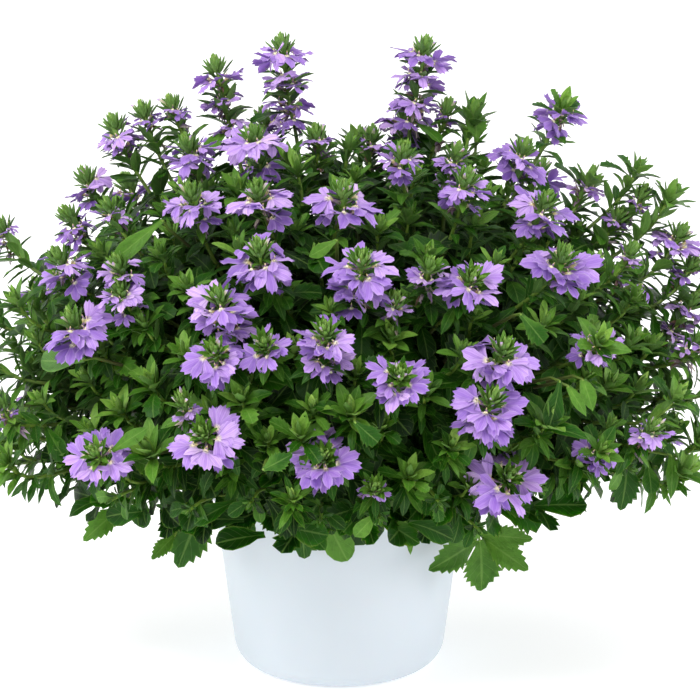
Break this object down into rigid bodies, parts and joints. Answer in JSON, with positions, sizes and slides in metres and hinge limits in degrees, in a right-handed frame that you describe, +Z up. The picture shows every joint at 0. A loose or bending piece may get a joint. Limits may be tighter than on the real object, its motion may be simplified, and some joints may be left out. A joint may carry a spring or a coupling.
{
  "type": "potted fan flower",
  "caption": "Bushy balcony plant with rings of half-round violet fan flowers on leafy shoots, in a plain pale tapered plastic pot",
  "frame": {"origin": "middle of the pot's flat underside, where it rests", "axes": "+Z up along the pot's axis, front towards -Y, +X to the right as seen from the front"},
  "size_m": [0.5025, 0.3878, 0.3899],
  "materials": {
    "pot_plastic": "satin",
    "potting_soil": "matte",
    "green_leaf": "satin",
    "violet_petal": "matte"
  },
  "bodies": {
    "root": {"flower_head_01": "violet_petal", "flower_head_02": "violet_petal", "flower_head_03": "violet_petal", "flower_head_04": "violet_petal", "flower_head_05": "violet_petal", "flower_head_06": "violet_petal", "flower_head_07": "violet_petal", "flower_head_08": "violet_petal", "flower_head_09": "violet_petal", "flower_head_10": "violet_petal", "flower_head_11": "violet_petal", "flower_head_12": "violet_petal", "flower_head_13": "violet_petal", "flower_head_14": "violet_petal", "flower_head_15": "violet_petal", "flower_head_16": "violet_petal", "flower_head_17": "violet_petal", "flower_head_18": "violet_petal", "flower_head_19": "violet_petal", "flower_head_20": "violet_petal", "flower_head_21": "violet_petal", "flower_head_22": "violet_petal", "flower_head_23": "violet_petal", "flower_head_24": "violet_petal", "flower_head_25": "violet_petal", "flower_head_26": "violet_petal", "flower_head_27": "violet_petal", "flower_head_28": "violet_petal", "flower_head_29": "violet_petal", "flower_head_30": "violet_petal", "flower_head_31": "violet_petal", "flower_head_32": "violet_petal", "flower_head_33": "violet_petal", "flower_head_34": "violet_petal", "flower_head_35": "violet_petal", "flower_head_36": "violet_petal", "flower_head_37": "violet_petal", "flower_head_38": "violet_petal", "flower_head_39": "violet_petal", "flower_head_40": "violet_petal", "flower_head_41": "violet_petal", "flower_head_42": "violet_petal", "flower_head_43": "violet_petal", "flower_head_44": "violet_petal", "flower_head_45": "violet_petal", "flower_head_46": "violet_petal", "flower_head_47": "violet_petal", "flower_head_48": "violet_petal", "flower_head_49": "violet_petal", "flower_head_50": "violet_petal", "leafy_branch_01": "green_leaf", "leafy_branch_02": "green_leaf", "leafy_branch_03": "green_leaf", "leafy_branch_04": "green_leaf", "leafy_branch_05": "green_leaf", "leafy_branch_06": "green_leaf", "pot": "pot_plastic", "soil": "potting_soil"}
  },
  "joints": []
}
